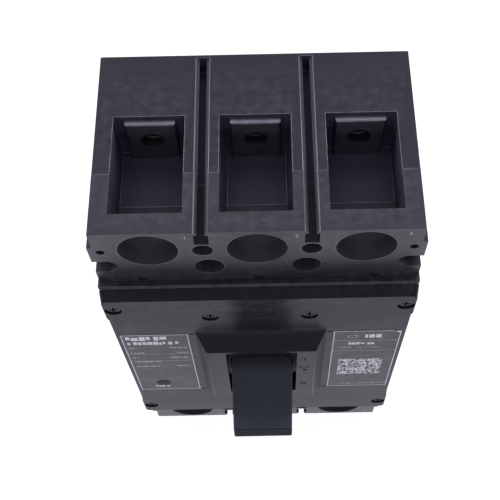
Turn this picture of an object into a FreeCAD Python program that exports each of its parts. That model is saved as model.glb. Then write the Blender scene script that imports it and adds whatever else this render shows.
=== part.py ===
import FreeCAD, Part
import math
import os
import Sketcher
from FreeCAD import Placement, Rotation, Vector

# A three-pole 400 A moulded case circuit breaker, its handle in the tripped position.
#
# Frame, in millimetres: X runs across the poles, +Z towards the line end, and the front of
# the breaker faces -Y. Y = 0 is the mounting face, and "depth" is the distance in front of
# it, so a point at depth d has Y = -d. The origin is the centre of the mounting pattern.

doc = FreeCAD.newDocument("moulded_case_breaker")
sheet = doc.addObject("Spreadsheet::Sheet", "Dims")

DIMENSIONS = [
    # the moulded housing
    ("pole_pitch", 48.0),
    ("body_length", 257.0),
    ("body_width", 149.0),
    ("end_width", 144.4),
    ("shoulder", 116.8),
    ("parting_depth", 65.2),
    ("step_depth", 95.4),
    ("housing_top", 99.6),
    ("cover_depth", 105.8),
    ("boss_depth", 113.4),
    ("back_wall", 8.0),
    ("cavity_half", 21.0),
    ("cavity_end", 92.0),
    ("cavity_top", 91.0),
    ("deep_cavity_end", 50.0),
    # terminal windows, access holes and barrier slots
    ("window_half", 16.2),
    ("window_floor", 34.7),
    ("window_top", 85.2),
    ("window_inner", 99.5),
    ("access_z", 113.3),
    ("access_radius", 13.5),
    ("slot_x", 24.0),
    ("slot_throat", 3.4),
    ("slot_width", 6.5),
    ("slot_length", 10.6),
    ("slot_lip", 1.6),
    ("slot_floor", 2.0),
    # mounting
    ("mount_x", 44.0),
    ("mount_z", 194.0),
    ("mount_hole", 7.0),
    ("mount_access", 13.6),
    ("mount_seat", 58.0),
    ("mount_column", 8.4),
    # housing screws, from the front housing into the base
    ("housing_screw_z", 112.7),
    ("housing_screw_recess", 9.4),
    ("housing_screw_seat", 72.4),
    ("housing_screw_hole", 5.4),
    ("housing_screw_pilot", 4.2),
    ("pilot_length", 30.0),
    # holds for a terminal shroud: notches in the long edges, pin holes and clip slots
    ("notch_x", 68.5),
    ("notch_z", 98.5),
    ("notch_half", 5.0),
    ("notch_depth", 7.0),
    ("pin_hole_x", 69.0),
    ("pin_hole_z", 112.4),
    ("pin_hole_radius", 2.0),
    ("clip_pitch", 54.0),
    ("clip_half", 2.2),
    ("clip_width", 1.6),
    # hollows under the face cover
    ("bay_inner_x", 30.0),
    ("bay_outer_x", 66.0),
    ("bay_half_z", 60.0),
    ("bay_depth", 5.6),
    # conductors
    ("bar_back", 31.7),
    ("bar_front", 37.7),
    ("bar_width", 23.0),
    ("bar_end", 126.0),
    ("bar_hole", 11.0),
    ("nut_across", 17.0),
    ("nut_seat", 17.4),
    ("nut_height", 9.0),
    ("nut_bore", 10.0),
    ("tip_thickness", 2.5),
    ("tip_z", 57.0),
    ("tip_length", 10.0),
    # raised part of the front housing and the face cover
    ("raised_half_z", 84.3),
    ("raised_half_x", 75.0),
    ("cover_half_x", 74.3),
    ("cover_half_z", 83.4),
    ("cover_draft", 11.0),
    ("lug_half_x", 75.0),
    ("lug_start", 62.0),
    ("cover_skin", 3.0),
    ("cover_screw_x", 69.4),
    ("cover_screw_z", 72.0),
    ("inner_screw_z", 62.3),
    ("cover_screw_recess", 8.2),
    ("boss_foot_x", 33.0),
    ("boss_foot_z", 44.5),
    ("boss_top_x", 27.8),
    ("boss_top_z", 34.0),
    ("handle_slot_x", 18.2),
    ("handle_slot_low", 26.0),
    ("handle_slot_high", 32.6),
    ("label_width", 34.2),
    ("label_length", 83.4),
    ("label_x", 54.0),
    ("label_skin", 0.5),
    # handle and its shield, about the handle's pivot
    ("pivot_z", 3.3),
    ("pivot_depth", 60.0),
    ("handle_tilt", 4.0),
    ("handle_reach", 88.2),
    ("handle_root_x", 16.3),
    ("handle_tip_x", 14.9),
    ("handle_root_z", 7.5),
    ("handle_tip_z", 5.6),
    ("shield_radius", 50.1),
    ("shield_skin", 1.5),
    ("shield_half_x", 20.3),
    ("shield_span", 104.0),
    # mechanism frame
    ("frame_x", 17.4),
    ("frame_plate", 2.0),
    ("yoke_x", 14.6),
    ("yoke_plate", 2.2),
    ("pivot_radius", 3.0),
    # contact shaft and arms, about the shaft's axis
    ("shaft_z", -8.0),
    ("shaft_depth", 40.0),
    ("shaft_radius", 10.0),
    ("shaft_half", 66.0),
    ("arm_opening", 12.8),
    ("arm_width", 10.0),
    ("arm_low", 2.8),
    ("arm_high", 10.8),
    ("arm_reach", 72.0),
    ("crank_z", 15.0),
    ("crank_depth", 14.2),
    ("link_radius", 2.4),
    ("running_gap", 0.06),
    # trip unit
    ("trip_bar_z", -56.0),
    ("trip_bar_depth", 84.0),
    ("trip_bar_radius", 4.0),
    ("heater_z", -61.0),
    ("armature_z", -50.5),
    ("button_x", -57.0),
    ("button_z", -30.5),
    ("button_radius", 3.6),
    ("button_collar", 5.6),
]

for row, (alias, value) in enumerate(DIMENSIONS, start=1):
    sheet.set("A%d" % row, alias)
    sheet.set("B%d" % row, str(value))
    sheet.setAlias("B%d" % row, alias)
doc.recompute()


class Size:
    """A length or angle: its present value, and the formula that binds it to the sheet."""

    def __init__(self, value, formula):
        self.value = value
        self.formula = formula

    def __add__(self, other):
        other = size(other)
        return Size(self.value + other.value, "(%s + %s)" % (self.formula, other.formula))

    def __sub__(self, other):
        other = size(other)
        return Size(self.value - other.value, "(%s - %s)" % (self.formula, other.formula))

    def __mul__(self, other):
        other = size(other)
        return Size(self.value * other.value, "(%s * %s)" % (self.formula, other.formula))

    def __truediv__(self, other):
        other = size(other)
        return Size(self.value / other.value, "(%s / %s)" % (self.formula, other.formula))

    def __neg__(self):
        return Size(-self.value, "(0 - %s)" % self.formula)

    def __radd__(self, other):
        return size(other) + self

    def __rsub__(self, other):
        return size(other) - self

    def __rmul__(self, other):
        return size(other) * self


def size(number):
    """A plain number as a Size; a Size as it is."""
    if isinstance(number, Size):
        return number
    text = "%.6g" % number
    if number < 0:
        text = "(0 - %.6g)" % -number
    return Size(float(number), text)


class Sheet:
    """Gives each cell of the sheet by its alias."""

    def __getattr__(self, alias):
        return Size(float(getattr(sheet, alias)), "Dims." + alias)


dim = Sheet()
POLES = (-1, 0, 1)
ENDS = (1, -1)
SIDES = (-1, 1)
NODES = []


def bind(thing, **sizes):
    """Bind properties of an object to the sheet."""
    for prop, value in sizes.items():
        thing.setExpression(prop, size(value).formula)


def place(thing, x=0, y=0, z=0, rotation=None):
    """Put an object's origin at x, y, z, bound to the sheet."""
    if rotation is not None:
        thing.Placement = Placement(Vector(0, 0, 0), rotation)
    thing.setExpression("Placement.Base.x", size(x).formula)
    thing.setExpression("Placement.Base.y", size(y).formula)
    thing.setExpression("Placement.Base.z", size(z).formula)


def node(thing, label):
    """Name a finished sub-part: its label is its file's name."""
    thing.Label = label
    NODES.append(thing)
    return thing


# ---------------------------------------------------------------- primitives and booleans

ALONG = {
    "x": Rotation(Vector(0, 1, 0), 90),
    "front": Rotation(Vector(1, 0, 0), 90),
    "z": Rotation(),
}


def block(x, depth, z):
    """A box between two values of x, of depth and of z."""
    box = doc.addObject("Part::Box", "Block")
    bind(box, Length=size(x[1]) - x[0], Width=size(depth[1]) - depth[0], Height=size(z[1]) - z[0])
    place(box, x[0], -size(depth[1]), z[0])
    return box


def rod(radius, start, length, along, x=0, depth=0, z=0):
    """A cylinder from start over length along x, front or z, its axis through the other two."""
    cylinder = doc.addObject("Part::Cylinder", "Rod")
    bind(cylinder, Radius=radius, Height=length)
    low = {"x": (start, -size(depth), z), "front": (x, -size(start), z), "z": (x, -size(depth), start)}
    place(cylinder, *low[along], rotation=ALONG[along])
    return cylinder


def hexagon(across_flats, start, length, x, z):
    """A hexagonal prism that runs to the front."""
    prism = doc.addObject("Part::Prism", "Hexagon")
    prism.Polygon = 6
    bind(prism, Circumradius=size(across_flats) / math.sqrt(3), Height=length)
    place(prism, x, -size(start), z, rotation=ALONG["front"])
    return prism


def fused(shapes):
    union = doc.addObject("Part::MultiFuse", "Union")
    union.Shapes = shapes
    return union


def cut(base, tools):
    difference = doc.addObject("Part::Cut", "Difference")
    difference.Base = base
    difference.Tool = tools[0] if len(tools) == 1 else fused(tools)
    return difference


def group(shapes):
    """Separate solids that share one node."""
    compound = doc.addObject("Part::Compound", "Group")
    compound.Links = shapes
    return compound


# ---------------------------------------------------------------- sketches and features


def origin_plane(body, role):
    for feature in body.Origin.OriginFeatures:
        if feature.Role == role:
            return feature
    raise ValueError(role)


def new_body(label):
    body = doc.addObject("PartDesign::Body", "Body")
    return node(body, label)


def sketch_on(body, plane, offset=0):
    """A sketch on XZ (its normal runs to the front), YZ (normal +X) or XY (normal +Z)."""
    sketch = body.newObject("Sketcher::SketchObject", "Sketch")
    sketch.AttachmentSupport = [(origin_plane(body, plane + "_Plane"), "")]
    sketch.MapMode = "FlatFace"
    sketch.setExpression(".AttachmentOffset.Base.z", size(offset).formula)
    return sketch


def pin_point(sketch, geometry, point, x, y):
    """Hold a point of the sketch at x, y from its origin."""
    for kind, value in (("DistanceX", size(x)), ("DistanceY", size(y))):
        index = sketch.addConstraint(
            Sketcher.Constraint(kind, -1, 1, geometry, point, value.value))
        sketch.setExpression("Constraints[%d]" % index, value.formula)


def polygon(sketch, points):
    """A closed outline of straight lines through points held by dimensions."""
    corners = [(size(x), size(y)) for x, y in points]
    count = len(corners)
    first = sketch.GeometryCount
    for index in range(count):
        start = corners[index]
        end = corners[(index + 1) % count]
        sketch.addGeometry(Part.LineSegment(
            Vector(start[0].value, start[1].value, 0), Vector(end[0].value, end[1].value, 0)))
    for index in range(count):
        following = first + (index + 1) % count
        sketch.addConstraint(
            Sketcher.Constraint("Coincident", first + index, 2, following, 1))
        pin_point(sketch, first + index, 1, *corners[index])


def rectangle(sketch, x, y):
    polygon(sketch, [(x[0], y[0]), (x[1], y[0]), (x[1], y[1]), (x[0], y[1])])


def circle(sketch, x, y, radius):
    x, y, radius = size(x), size(y), size(radius)
    index = sketch.addGeometry(Part.Circle(
        Vector(x.value, y.value, 0), Vector(0, 0, 1), radius.value))
    pin_point(sketch, index, 3, x, y)
    constraint = sketch.addConstraint(Sketcher.Constraint("Radius", index, radius.value))
    sketch.setExpression("Constraints[%d]" % constraint, radius.formula)


def pad(body, sketch, length, taper=None):
    feature = body.newObject("PartDesign::Pad", "Pad")
    feature.Profile = sketch
    bind(feature, Length=length)
    if taper is not None:
        bind(feature, TaperAngle=-size(taper))
    sketch.Visibility = False
    doc.recompute()
    return feature


def pocket(body, sketch, depth, reverse=False):
    """Cut the sketch's outline backwards from its plane, and make sure that it cut something."""
    before = body.Shape.Volume
    feature = body.newObject("PartDesign::Pocket", "Pocket")
    feature.Profile = sketch
    feature.Reversed = reverse
    bind(feature, Length=depth)
    doc.recompute()
    if body.Shape.Volume > before - 0.01:
        raise ValueError("a pocket in %s cut nothing" % body.Label)
    return feature


def loft(body, kind, first, second):
    feature = body.newObject("PartDesign::" + kind, "Loft")
    feature.Profile = first
    feature.Sections = [second]
    feature.Ruled = True
    doc.recompute()
    return feature


def round_edges(body, radius, wanted, kind="Fillet"):
    """Fillet or chamfer the edges of the body that wanted(edge) picks."""
    base = body.Tip
    names = []
    for index, edge in enumerate(base.Shape.Edges, start=1):
        if wanted(edge):
            names.append("Edge%d" % index)
    if not names:
        raise ValueError("no edge to round on %s" % body.Label)
    feature = body.newObject("PartDesign::" + kind, kind)
    feature.Base = (base, names)
    bind(feature, **{"Radius" if kind == "Fillet" else "Size": radius})
    doc.recompute()
    return feature


def level(edge, depth):
    """Whether an edge lies wholly at one depth."""
    box = edge.BoundBox
    return abs(box.YMin + depth) < 0.01 and abs(box.YMax + depth) < 0.01


# ---------------------------------------------------------------- housing


def slot_profile(x, end):
    """Outline of a barrier slot: a bevelled throat at the end face, wider behind its lips."""
    outer = dim.body_length / 2 + 1
    throat_half = dim.slot_throat / 2
    wide_half = dim.slot_width / 2
    face = dim.body_length / 2
    right = [
        (wide_half, face - dim.slot_length), (wide_half, face - dim.slot_lip - 0.7),
        (throat_half, face - dim.slot_lip - 0.7), (throat_half, face - dim.slot_lip),
        (wide_half, face), (wide_half, outer)]
    left = [(-across, along) for across, along in reversed(right)]
    return [(size(x) + across, size(along) * end) for across, along in right + left]


def barrier_slots(body, offset, depth):
    sketch = sketch_on(body, "XZ", offset)
    for side in SIDES:
        for end in ENDS:
            polygon(sketch, slot_profile(dim.slot_x * side, end))
    pocket(body, sketch, depth)


def corner_circles(sketch, x, z, radius):
    """Circles at (+-x, +-z)."""
    for side in SIDES:
        for end in ENDS:
            circle(sketch, size(x) * side, size(z) * end, radius)


def housing_block(body, offset, height):
    """The outline that the base and the front housing share: narrower past the shoulders."""
    for half_width, half_length in (
            (dim.end_width / 2, dim.body_length / 2), (dim.body_width / 2, dim.shoulder)):
        sketch = sketch_on(body, "XZ", offset)
        rectangle(sketch, (-half_width, half_width), (-half_length, half_length))
        pad(body, sketch, height)


def pole_rectangles(sketch, half_width, z_low, z_high):
    for pole in POLES:
        centre = dim.pole_pitch * pole
        rectangle(sketch, (centre - half_width, centre + half_width), (z_low, z_high))


def terminal_windows(body, offset, depth):
    """Cut the bus windows from a plane at one depth back over a depth, at both ends."""
    sketch = sketch_on(body, "XZ", offset)
    outer = dim.body_length / 2 + 1
    pole_rectangles(sketch, dim.window_half, dim.window_inner, outer)
    pole_rectangles(sketch, dim.window_half, -outer, -dim.window_inner)
    pocket(body, sketch, depth)


def rear_base():
    body = new_body("rear_base")
    housing_block(body, 0, dim.parting_depth)
    bar_floor = dim.bar_back - 0.1

    chambers = sketch_on(body, "XZ", dim.parting_depth)
    pole_rectangles(chambers, dim.cavity_half, -dim.cavity_end, dim.cavity_end)
    pocket(body, chambers, dim.parting_depth - bar_floor)

    wells = sketch_on(body, "XZ", dim.parting_depth)
    pole_rectangles(wells, dim.cavity_half, -dim.deep_cavity_end - 6, dim.deep_cavity_end)
    pocket(body, wells, dim.parting_depth - dim.back_wall)

    terminal_windows(body, dim.parting_depth, dim.parting_depth - dim.window_floor)

    # channels that the conductors lie in, through the wall behind each window
    channel_half = dim.bar_width / 2 + 0.3
    for end, plane in ((1, dim.bar_end + 0.3), (-1, -dim.cavity_end + 1)):
        channel = sketch_on(body, "XY", plane)
        for pole in POLES:
            centre = dim.pole_pitch * pole
            rectangle(channel, (centre - channel_half, centre + channel_half),
                      (-dim.bar_front - 0.2, -bar_floor))
        pocket(body, channel, dim.bar_end + 0.3 - dim.cavity_end + 1)

    # hexagonal seats for the terminal nuts, and room for the bolts' ends
    seats = sketch_on(body, "XZ", bar_floor)
    for end in ENDS:
        for pole in POLES:
            corners = []
            for corner in range(6):
                angle = math.radians(60 * corner)
                reach = dim.nut_seat / math.sqrt(3)
                corners.append((dim.pole_pitch * pole + reach * math.cos(angle),
                                dim.access_z * end + reach * math.sin(angle)))
            polygon(seats, corners)
    pocket(body, seats, dim.nut_height + 0.6)
    reliefs = sketch_on(body, "XZ", bar_floor)
    for end in ENDS:
        for pole in POLES:
            circle(reliefs, dim.pole_pitch * pole, dim.access_z * end, 5.8)
    pocket(body, reliefs, 18)

    # columns around the mounting screws
    columns = sketch_on(body, "XZ", dim.back_wall)
    corner_circles(columns, dim.mount_x / 2, dim.mount_z / 2, dim.mount_column)
    pad(body, columns, dim.parting_depth - dim.back_wall)
    access = sketch_on(body, "XZ", dim.parting_depth)
    corner_circles(access, dim.mount_x / 2, dim.mount_z / 2, dim.mount_access / 2)
    pocket(body, access, dim.parting_depth - dim.mount_seat)
    bores = sketch_on(body, "XZ", dim.parting_depth)
    corner_circles(bores, dim.mount_x / 2, dim.mount_z / 2, dim.mount_hole / 2)
    pocket(body, bores, dim.parting_depth + 1)

    barrier_slots(body, dim.parting_depth, dim.parting_depth - dim.slot_floor)

    pilots = sketch_on(body, "XZ", dim.parting_depth)
    corner_circles(pilots, dim.slot_x, dim.housing_screw_z, dim.housing_screw_pilot / 2)
    pocket(body, pilots, dim.pilot_length)

    # saddles for the contact shaft in the two walls between the poles
    saddle_radius = dim.shaft_radius + 0.3
    reach = dim.pole_pitch / 2 + 5
    for across_walls in (True, False):
        saddle = sketch_on(body, "YZ", reach)
        if across_walls:
            rectangle(saddle, (-dim.parting_depth - 1, -dim.shaft_depth),
                      (dim.shaft_z - saddle_radius, dim.shaft_z + saddle_radius))
        else:
            circle(saddle, -dim.shaft_depth, dim.shaft_z, saddle_radius)
        pocket(body, saddle, reach * 2)

    round_edges(body, 0.8, lambda edge: level(edge, 0) and edge.Length > 90)


def front_housing():
    body = new_body("front_housing")
    height = dim.step_depth - dim.parting_depth
    housing_block(body, dim.parting_depth, height)
    raised = sketch_on(body, "XZ", dim.step_depth - 2)
    rectangle(raised, (-dim.raised_half_x, dim.raised_half_x), (-dim.raised_half_z, dim.raised_half_z))
    pad(body, raised, dim.housing_top - dim.step_depth + 2)
    round_edges(body, 0.9, lambda edge: level(edge, dim.housing_top.value), "Chamfer")

    chambers = sketch_on(body, "XZ", dim.cavity_top)
    pole_rectangles(chambers, dim.cavity_half, -dim.cavity_end, dim.cavity_end)
    pocket(body, chambers, dim.cavity_top - dim.parting_depth + 1)

    # the walls between the poles stop short of the mechanism
    open_middle = sketch_on(body, "XZ", dim.cavity_top)
    reach = dim.pole_pitch / 2 + 5
    rectangle(open_middle, (-reach, reach), (-66, 58))
    pocket(body, open_middle, dim.cavity_top - dim.parting_depth + 1)

    terminal_windows(body, dim.window_top, dim.window_top - dim.parting_depth + 1)

    access = sketch_on(body, "XZ", dim.step_depth)
    for end in ENDS:
        for pole in POLES:
            circle(access, dim.pole_pitch * pole, dim.access_z * end, dim.access_radius)
    pocket(body, access, dim.step_depth - dim.window_top + 1)

    columns = sketch_on(body, "XZ", dim.parting_depth)
    corner_circles(columns, dim.mount_x / 2, dim.mount_z / 2, dim.mount_column)
    pad(body, columns, height)
    posts = sketch_on(body, "XZ", dim.parting_depth)
    corner_circles(posts, dim.cover_screw_x, dim.cover_screw_z, 3.4)
    pad(body, posts, height)

    bores = sketch_on(body, "XZ", dim.step_depth)
    corner_circles(bores, dim.mount_x / 2, dim.mount_z / 2, dim.mount_access / 2)
    pocket(body, bores, height + 1)

    barrier_slots(body, dim.step_depth, height + 1)

    # recesses of the housing screws, then their shanks
    recesses = sketch_on(body, "XZ", dim.step_depth)
    corner_circles(recesses, dim.slot_x, dim.housing_screw_z, dim.housing_screw_recess / 2)
    pocket(body, recesses, dim.step_depth - dim.housing_screw_seat)
    shanks = sketch_on(body, "XZ", dim.step_depth)
    corner_circles(shanks, dim.slot_x, dim.housing_screw_z, dim.housing_screw_hole / 2)
    pocket(body, shanks, height + 1)

    # rounded notches in the long edges, and small holes, for a terminal shroud
    notches = sketch_on(body, "XZ", dim.step_depth)
    for side in SIDES:
        for end in ENDS:
            rectangle(notches, (dim.notch_x * side, (dim.raised_half_x + dim.notch_half) * side),
                      ((dim.notch_z - dim.notch_half) * end, (dim.notch_z + dim.notch_half) * end))
    pocket(body, notches, dim.notch_depth)
    ends_of_notches = sketch_on(body, "XZ", dim.step_depth)
    corner_circles(ends_of_notches, dim.notch_x, dim.notch_z, dim.notch_half)
    pocket(body, ends_of_notches, dim.notch_depth)
    pin_holes = sketch_on(body, "XZ", dim.step_depth)
    corner_circles(pin_holes, dim.pin_hole_x, dim.pin_hole_z, dim.pin_hole_radius)
    pocket(body, pin_holes, 6)
    clips = sketch_on(body, "XZ", dim.step_depth)
    for end in ENDS:
        for pole in POLES:
            centre = dim.clip_pitch * pole
            rectangle(clips, (centre - dim.clip_half, centre + dim.clip_half),
                      (dim.raised_half_z * end, (dim.raised_half_z + dim.clip_width) * end))
    pocket(body, clips, 4)

    # opening over the mechanism, accessory bays beside it, and the trip button's guide
    opening = sketch_on(body, "XZ", dim.housing_top)
    rectangle(opening, (-dim.cavity_half, dim.cavity_half), (-52, 57))
    pocket(body, opening, dim.housing_top - dim.cavity_top + 1)
    bays = sketch_on(body, "XZ", dim.housing_top)
    for side in SIDES:
        rectangle(bays, (dim.bay_inner_x * side, dim.bay_outer_x * side),
                  (-dim.bay_half_z, dim.bay_half_z))
    pocket(body, bays, dim.bay_depth)
    guide = sketch_on(body, "XZ", dim.housing_top)
    circle(guide, dim.button_x, dim.button_z, dim.button_radius + 0.3)
    pocket(body, guide, dim.housing_top - dim.cavity_top + 1)

    pilots = sketch_on(body, "XZ", dim.housing_top)
    corner_circles(pilots, dim.cover_screw_x, dim.cover_screw_z, 1.6)
    for side in SIDES:
        circle(pilots, dim.slot_x * side, dim.inner_screw_z, 1.6)
    pocket(body, pilots, 12)


def face_cover():
    body = new_body("face_cover")
    height = dim.cover_depth - dim.housing_top
    plate = sketch_on(body, "XZ", dim.housing_top)
    rectangle(plate, (-dim.cover_half_x, dim.cover_half_x), (-dim.cover_half_z, dim.cover_half_z))
    pad(body, plate, height, taper=dim.cover_draft)
    lug_shift = dim.lug_half_x - dim.cover_half_x
    for side in SIDES:
        for end in ENDS:
            lug = sketch_on(body, "XZ", dim.housing_top)
            inner = dim.cover_screw_x - 8
            polygon(lug, [
                (inner * side, dim.cover_half_z * end),
                (dim.lug_half_x * side, dim.cover_half_z * end),
                (dim.lug_half_x * side, (dim.lug_start + 1) * end),
                ((dim.lug_half_x - lug_shift) * side, (dim.lug_start - 1.5) * end),
                (inner * side, (dim.lug_start - 1.5) * end)])
            pad(body, lug, height, taper=dim.cover_draft)

    def corner_edge(edge):
        box = edge.BoundBox
        return (box.YLength > 5 and abs(box.Center.x) > 72 and abs(box.Center.z) > 78)

    round_edges(body, 3, corner_edge)

    foot = sketch_on(body, "XZ", dim.cover_depth - 0.01)
    rectangle(foot, (-dim.boss_foot_x, dim.boss_foot_x), (-dim.boss_foot_z, dim.boss_foot_z))
    top = sketch_on(body, "XZ", dim.boss_depth)
    rectangle(top, (-dim.boss_top_x, dim.boss_top_x), (-dim.boss_top_z, dim.boss_top_z))
    loft(body, "AdditiveLoft", foot, top)

    def root_edge(edge):
        box = edge.BoundBox
        return (level(edge, dim.cover_depth.value) and box.XLength > 60
                and abs(abs(box.Center.z) - dim.boss_foot_z.value) < 0.5)

    round_edges(body, 7, root_edge)
    round_edges(body, 0.8, lambda edge: level(edge, dim.boss_depth.value))

    # the hollow underneath: shallow under the plate, deep under the boss
    under = sketch_on(body, "XZ", dim.housing_top)
    rectangle(under, (-dim.bay_outer_x, dim.bay_outer_x), (-dim.bay_half_z + 2, dim.bay_half_z - 2))
    pocket(body, under, height - dim.cover_skin, reverse=True)
    hollow_low = sketch_on(body, "XZ", dim.housing_top)
    rectangle(hollow_low, (-dim.boss_foot_x + 2, dim.boss_foot_x - 2), (-47, 47))
    hollow_high = sketch_on(body, "XZ", dim.boss_depth - 2.6)
    rectangle(hollow_high, (-dim.boss_top_x + 3, dim.boss_top_x - 3),
              (-dim.boss_top_z + 3, dim.boss_top_z - 2))
    loft(body, "SubtractiveLoft", hollow_low, hollow_high)

    slot = sketch_on(body, "XZ", dim.boss_depth)
    rectangle(slot, (-dim.handle_slot_x, dim.handle_slot_x),
              (-dim.handle_slot_low, dim.handle_slot_high))
    pocket(body, slot, 3.5)

    labels = sketch_on(body, "XZ", dim.cover_depth)
    for side in SIDES:
        centre = dim.label_x * side
        rectangle(labels, (centre - dim.label_width / 2 - 0.1, centre + dim.label_width / 2 + 0.1),
                  (-dim.label_length / 2 - 0.1, dim.label_length / 2 + 0.1))
    pocket(body, labels, dim.label_skin - 0.1)

    ticks = sketch_on(body, "XZ", dim.cover_depth)
    for side in SIDES:
        for end in ENDS:
            rectangle(ticks, (size(33.4) * side, size(36) * side),
                      ((dim.label_length / 2 - 0.4) * end, (dim.label_length / 2 + 0.7) * end))
    pocket(body, ticks, 1.2)

    recesses = sketch_on(body, "XZ", dim.cover_depth)
    holes = sketch_on(body, "XZ", dim.cover_depth)
    for sketch, radius in ((recesses, dim.cover_screw_recess / 2), (holes, size(1.9))):
        corner_circles(sketch, dim.cover_screw_x, dim.cover_screw_z, radius)
        for side in SIDES:
            circle(sketch, dim.slot_x * side, dim.inner_screw_z, radius)
    pocket(body, recesses, 3)
    pocket(body, holes, height + 1)

    button_hole = sketch_on(body, "XZ", dim.cover_depth)
    circle(button_hole, dim.button_x, dim.button_z, dim.button_radius + 0.3)
    pocket(body, button_hole, height + 1)


def rating_plate(label, side):
    body = new_body(label)
    outline = sketch_on(body, "XZ", dim.cover_depth - dim.label_skin + 0.1)
    centre = dim.label_x * side
    rectangle(outline, (centre - dim.label_width / 2, centre + dim.label_width / 2),
              (-dim.label_length / 2, dim.label_length / 2))
    pad(body, outline, dim.label_skin)
    if side < 0:
        window = sketch_on(body, "XZ", dim.cover_depth + 1)
        circle(window, dim.button_x, dim.button_z, dim.button_radius + 0.3)
        pocket(body, window, 3)


def cross_head_screw(x, z, seat, head_radius, head_height, shank_radius, shank_length):
    """A pan-head screw that stands in its hole, with a cross recess; seat is the head's depth."""
    head = rod(head_radius, seat, head_height, "front", x=x, z=z)
    shank = rod(shank_radius, size(seat) - shank_length, shank_length, "front", x=x, z=z)
    arm = head_radius * 0.62
    top = size(seat) + head_height
    across = block((size(x) - arm, size(x) + arm), (top - 1.2, top + 1), (size(z) - 0.45, size(z) + 0.45))
    along = block((size(x) - 0.45, size(x) + 0.45), (top - 1.2, top + 1), (size(z) - arm, size(z) + arm))
    return cut(fused([head, shank]), [across, along])


def screws():
    seat = dim.cover_depth - 3
    places = []
    for side in SIDES:
        for end in ENDS:
            places.append((dim.cover_screw_x * side, dim.cover_screw_z * end))
        places.append((dim.slot_x * side, dim.inner_screw_z))
    face = [cross_head_screw(x, z, seat, 3.5, 2.0, 1.6, 10) for x, z in places]
    node(group(face), "face_cover_screws")

    housing = []
    for side in SIDES:
        for end in ENDS:
            housing.append(cross_head_screw(dim.slot_x * side, dim.housing_screw_z * end,
                                            dim.housing_screw_seat, 4.2, 3.2, 2.1, 26))
    node(group(housing), "housing_screws")


# ---------------------------------------------------------------- conductors


def terminal(label, pole, end, inner):
    """A flat copper conductor from its bolt hole into the housing; inner is its other end."""
    body = new_body(label)
    outline = sketch_on(body, "XZ", dim.bar_back)
    half = dim.bar_width / 2
    rectangle(outline, (-half, half), (size(inner) * end, dim.bar_end * end))
    pad(body, outline, dim.bar_front - dim.bar_back)
    hole = sketch_on(body, "XZ", dim.bar_front)
    circle(hole, 0, dim.access_z * end, dim.bar_hole / 2)
    pocket(body, hole, dim.bar_front - dim.bar_back + 1)

    def long_straight_edge(edge):
        return level(edge, dim.bar_front.value) and edge.Length > 20 and len(edge.Vertexes) == 2

    round_edges(body, 0.8, long_straight_edge)
    place(body, x=dim.pole_pitch * pole)


def terminals():
    tips = []
    for number, pole in enumerate(POLES, start=1):
        terminal("line_terminal_%d" % number, pole, 1, dim.tip_z - 7)
        terminal("load_terminal_%d" % number, pole, -1, 58)
        centre = dim.pole_pitch * pole
        tips.append(block((centre - 5, centre + 5), (dim.bar_front, dim.bar_front + dim.tip_thickness),
                          (dim.tip_z - dim.tip_length / 2, dim.tip_z + dim.tip_length / 2)))
    node(group(tips), "fixed_contacts")
    nuts = []
    for end in ENDS:
        for pole in POLES:
            x = dim.pole_pitch * pole
            nut = hexagon(dim.nut_across, dim.bar_back - dim.nut_height, dim.nut_height, x,
                          dim.access_z * end)
            bore = rod(dim.nut_bore / 2, dim.bar_back - dim.nut_height - 1, dim.nut_height + 2,
                       "front", x=x, z=dim.access_z * end)
            nuts.append(cut(nut, [bore]))
    node(group(nuts), "terminal_nuts")


# ---------------------------------------------------------------- arc chutes


def arc_chutes():
    """Two insulating side walls and seven steel plates beyond each contact."""
    inner, outer = 16.3, 17.8
    walls = []
    for number, pole in enumerate(POLES, start=1):
        centre = dim.pole_pitch * pole
        for side in SIDES:
            edges = sorted((inner * side, outer * side))
            walls.append(block((centre + edges[0], centre + edges[1]), (42, 88), (61, 88)))
        plates = []
        for index in range(7):
            low = 46 + 6 * index
            plate = block((centre - 16.2, centre + 16.2), (low, low + 1.2), (66, 87))
            notch = block((centre - 5.5, centre + 5.5), (low - 1, low + 3), (65, 73))
            plates.append(cut(plate, [notch]))
        node(group(plates), "arc_plates_%d" % number)
    node(group(walls), "arc_chute_walls")


# ---------------------------------------------------------------- handle and mechanism


SPRING_ANCHOR = 31.5


def put_on_handle(thing):
    """Place something drawn about the handle's pivot, with the handle straight out."""
    place(thing, y=-dim.pivot_depth, z=dim.pivot_z, rotation=Rotation(Vector(-1, 0, 0), 4))
    thing.setExpression("Placement.Rotation.Angle", "Dims.handle_tilt")


def operating_handle():
    body = new_body("operating_handle")
    root = sketch_on(body, "XZ", 46)
    rectangle(root, (-dim.handle_root_x, dim.handle_root_x), (-dim.handle_root_z, dim.handle_root_z))
    tip = sketch_on(body, "XZ", dim.handle_reach)
    rectangle(tip, (-dim.handle_tip_x, dim.handle_tip_x), (-dim.handle_tip_z, dim.handle_tip_z))
    loft(body, "AdditiveLoft", root, tip)
    round_edges(body, 1.0, lambda edge: edge.Length > 40)
    round_edges(body, 0.6, lambda edge: level(edge, dim.handle_reach.value))
    foot = sketch_on(body, "XZ", 36.2)
    rectangle(foot, (-dim.handle_root_x, dim.handle_root_x), (-9, 9))
    pad(body, foot, 10)
    put_on_handle(body)


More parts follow.
